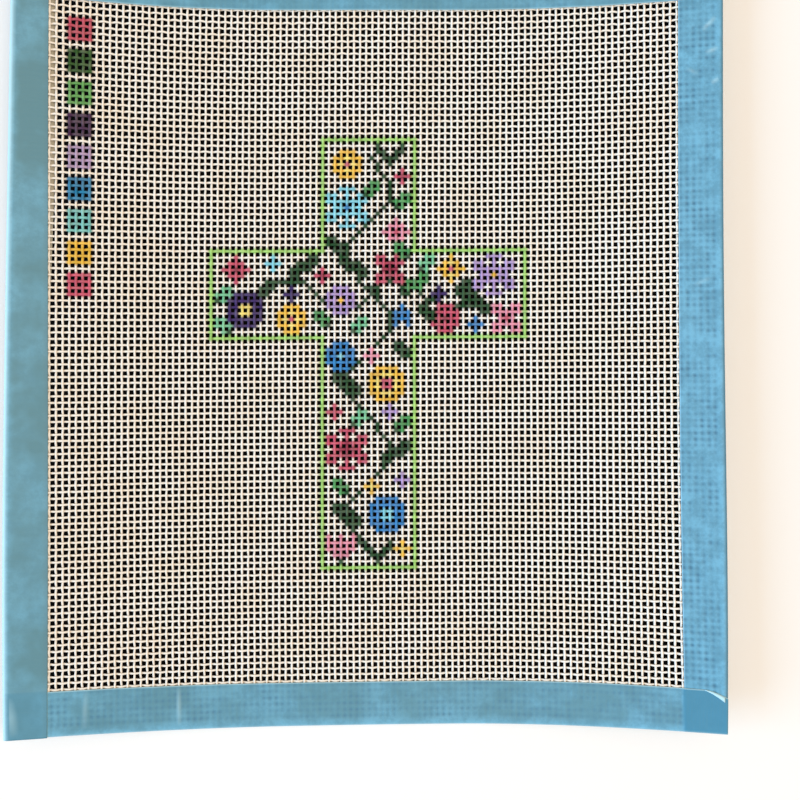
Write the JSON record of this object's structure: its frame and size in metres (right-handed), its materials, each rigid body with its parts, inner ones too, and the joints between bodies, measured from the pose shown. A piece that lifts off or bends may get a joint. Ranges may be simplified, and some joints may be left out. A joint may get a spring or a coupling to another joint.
{
  "type": "needlepoint canvas panel",
  "caption": "Open-weave needlepoint canvas with a painted floral cross, its raw edges bound in folded pale-blue tape, lying face up and curling up at both sides.",
  "frame": {"origin": "middle of the panel's bounding box, on the surface that it lies on", "axes": "+X to the right across the painted face, +Y up the panel towards the head of the cross, +Z out of the painted face"},
  "size_m": [0.161, 0.1758, 0.0125],
  "materials": {
    "painted_canvas": "matt sized cotton, plain open weave, 18 threads to the inch, hand painted",
    "edge_tape": "crepe paper masking tape with a low sheen"
  },
  "bodies": {
    "root": {"canvas": "painted_canvas", "tape_left": "edge_tape", "tape_right": "edge_tape", "tape_top": "edge_tape", "tape_bottom": "edge_tape"}
  },
  "joints": []
}
